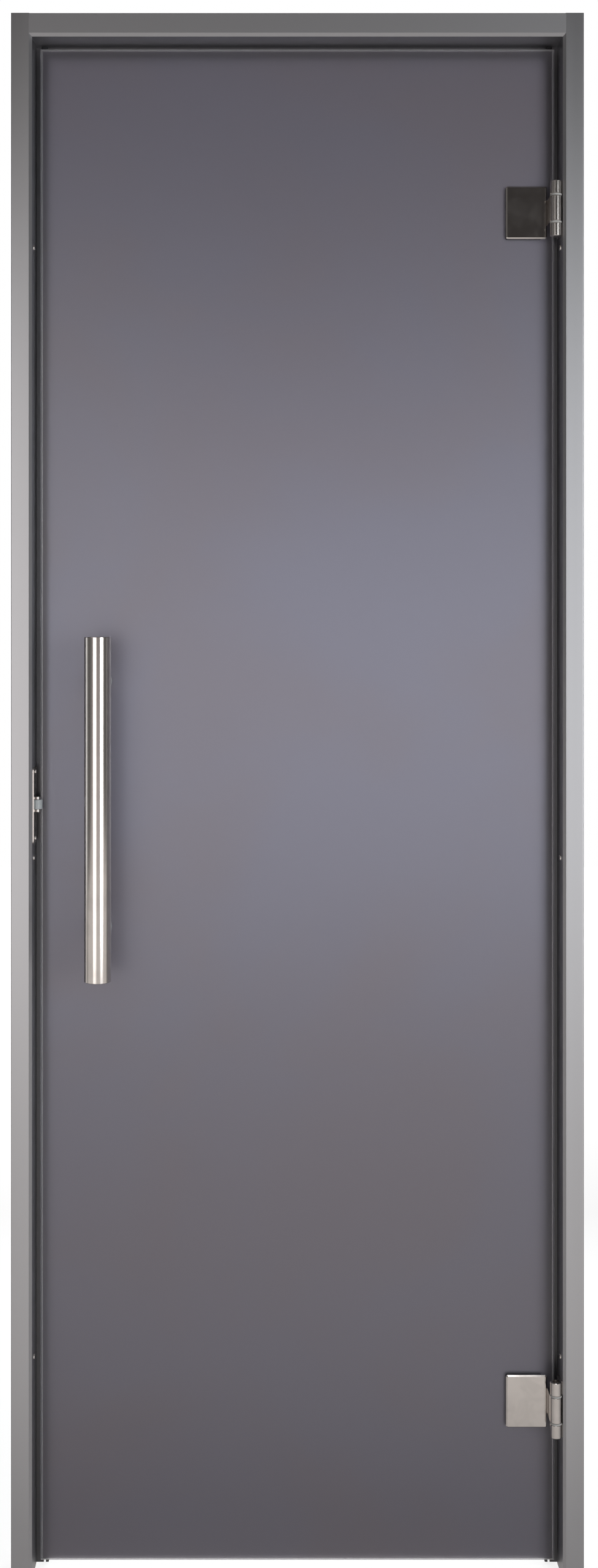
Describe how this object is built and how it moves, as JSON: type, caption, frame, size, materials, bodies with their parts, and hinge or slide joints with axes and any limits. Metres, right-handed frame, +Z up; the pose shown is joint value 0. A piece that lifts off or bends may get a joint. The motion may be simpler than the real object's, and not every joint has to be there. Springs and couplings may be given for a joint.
{
  "type": "framed glass steam room door",
  "caption": "Satin grey glass door leaf on barrel hinges in a bevelled aluminium frame, with round bar pull handles and a sprung roller catch; opens outward.",
  "frame": {"origin": "on the hinge jamb's wall face, at the floor, in the middle of the frame's depth", "axes": "+X out of the hinge jamb into the wall, +Y into the steam room, +Z up"},
  "size_m": [0.69, 0.164, 1.89],
  "materials": {
    "frame_aluminium": "satin anodised",
    "satin_glass": "satin etched grey tempered glass",
    "stainless_steel": "fine polished",
    "seal_rubber": "matt",
    "gasket_fibre": "matt",
    "washer_nylon": "satin",
    "foot_washer_plastic": "translucent grey",
    "roller_nylon": "satin"
  },
  "bodies": {
    "frame": {"latch_jamb": "frame_aluminium", "hinge_jamb": "frame_aluminium", "head": "frame_aluminium", "latch_stop": "frame_aluminium", "hinge_stop": "frame_aluminium", "head_stop": "frame_aluminium", "latch_seal": "seal_rubber", "hinge_seal": "seal_rubber", "head_seal": "seal_rubber", "catch_plate": "stainless_steel", "catch_case": "stainless_steel", "lower_hinge_frame_leaf": "stainless_steel", "lower_hinge_pin": "stainless_steel", "lower_hinge_washers": "washer_nylon", "upper_hinge_frame_leaf": "stainless_steel", "upper_hinge_pin": "stainless_steel", "upper_hinge_washers": "washer_nylon"},
    "door": {"glass_pane": "satin_glass", "handle_studs": "stainless_steel", "lower_hinge_glass_leaf": "stainless_steel", "lower_hinge_cover_plate": "stainless_steel", "lower_hinge_inner_plate": "stainless_steel", "lower_hinge_gaskets": "gasket_fibre", "upper_hinge_glass_leaf": "stainless_steel", "upper_hinge_cover_plate": "stainless_steel", "upper_hinge_inner_plate": "stainless_steel", "upper_hinge_gaskets": "gasket_fibre", "outer_handle_tube": "stainless_steel", "outer_handle_caps": "stainless_steel", "outer_handle_posts": "stainless_steel", "outer_handle_washers": "foot_washer_plastic", "inner_handle_tube": "stainless_steel", "inner_handle_caps": "stainless_steel", "inner_handle_posts": "stainless_steel", "inner_handle_washers": "foot_washer_plastic"},
    "catch_carriage": {"catch_carriage": "stainless_steel", "catch_axle": "stainless_steel"},
    "catch_roller": {"catch_roller": "roller_nylon"}
  },
  "joints": [
    {"name": "door_swing", "type": "hinge", "parent": "frame", "child": "door", "pos_m": [-0.0325, -0.0215, 0], "axis": [0, 0, 1], "range_deg": [0, 160]},
    {"name": "catch_slide", "type": "slide", "parent": "frame", "child": "catch_carriage", "axis": [-1, 0, 0], "range_m": [0, 0.006], "stiffness_N_per_m": 2000, "springref_m": -0.003},
    {"name": "roller_spin", "type": "hinge", "parent": "catch_carriage", "child": "catch_roller", "pos_m": [-0.662, 0.00024, 0.934], "axis": [0, 0, 1], "continuous": true}
  ]
}
